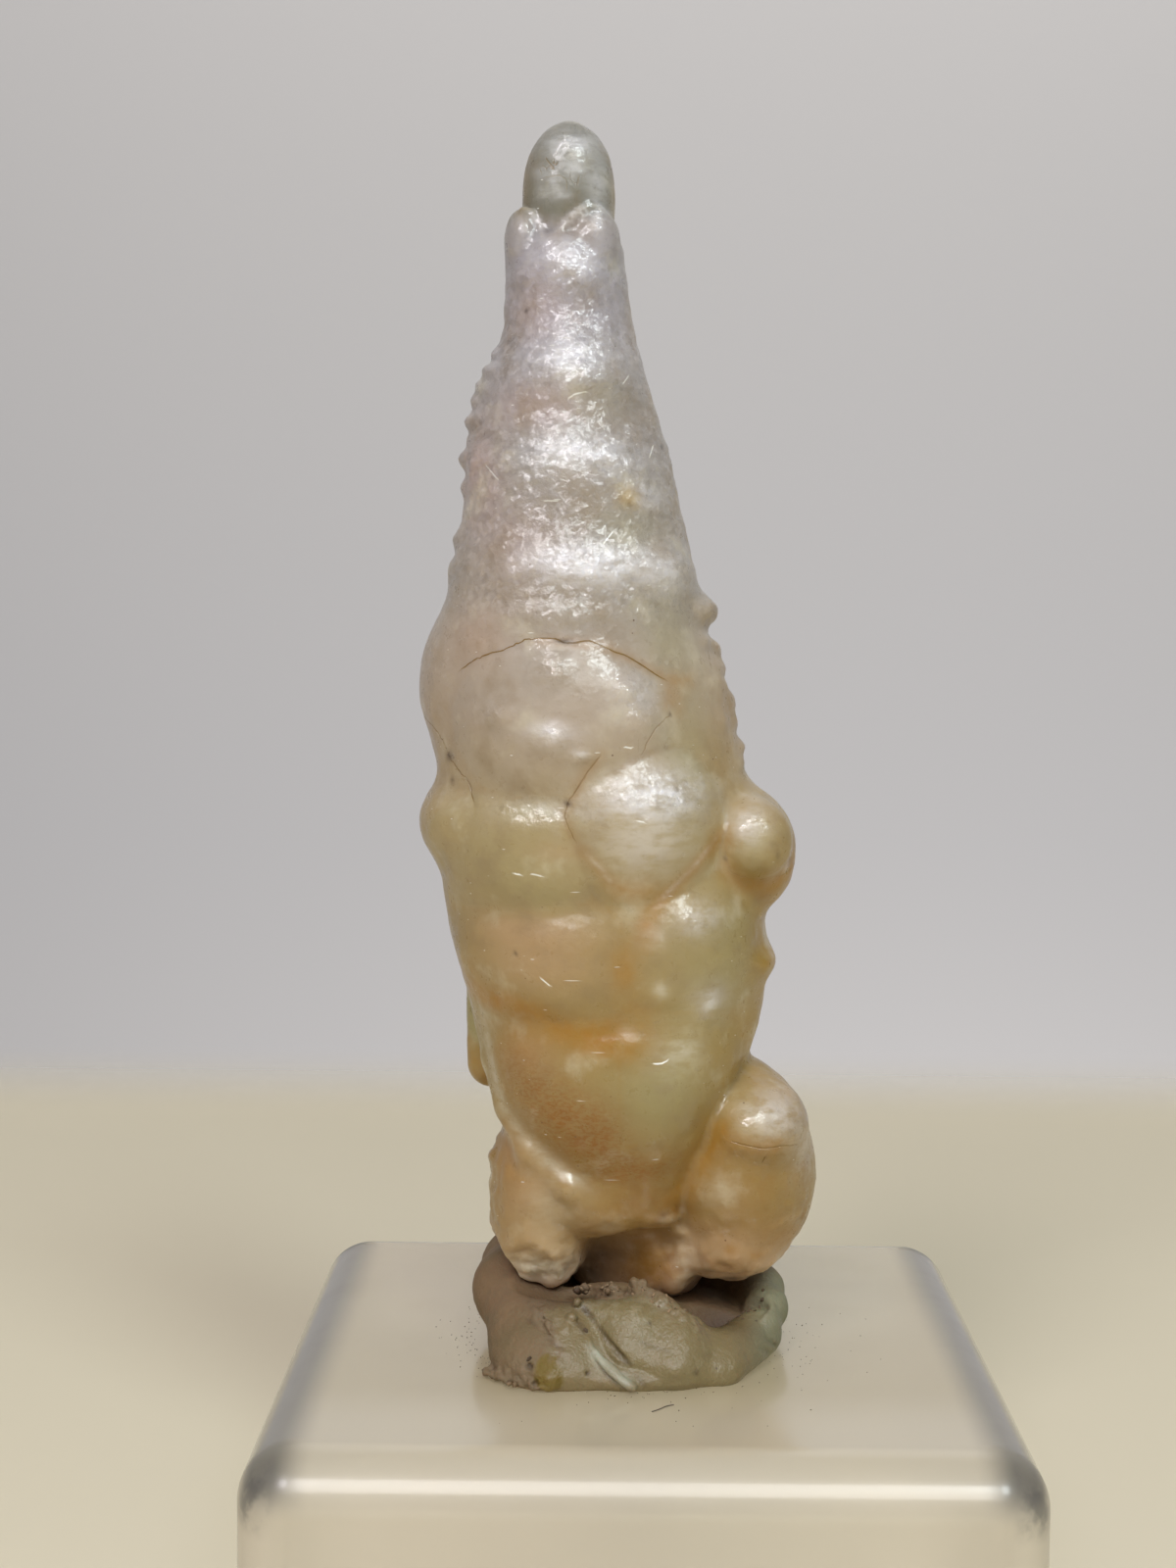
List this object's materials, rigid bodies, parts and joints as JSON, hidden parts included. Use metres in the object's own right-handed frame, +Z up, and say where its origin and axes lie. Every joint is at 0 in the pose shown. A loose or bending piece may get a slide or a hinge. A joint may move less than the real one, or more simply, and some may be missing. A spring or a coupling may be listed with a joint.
{
  "type": "opal specimen on stand",
  "caption": "Pearly lobed opal stalactite standing upright in a wad of grey-green mineral tack on a clear acrylic display block with rounded edges.",
  "frame": {"origin": "centre of the acrylic block's underside", "axes": "+Z up, along the opal; +Y away from the face that shows the knob at the right"},
  "size_m": [0.0422, 0.0422, 0.0837],
  "materials": {
    "opal": "pearly, translucent, warm towards the base",
    "tack": "matte kneaded putty",
    "acrylic": "clear polished acrylic"
  },
  "bodies": {
    "root": {"opal": "opal", "mineral_tack": "tack", "acrylic_block": "acrylic"}
  },
  "joints": []
}
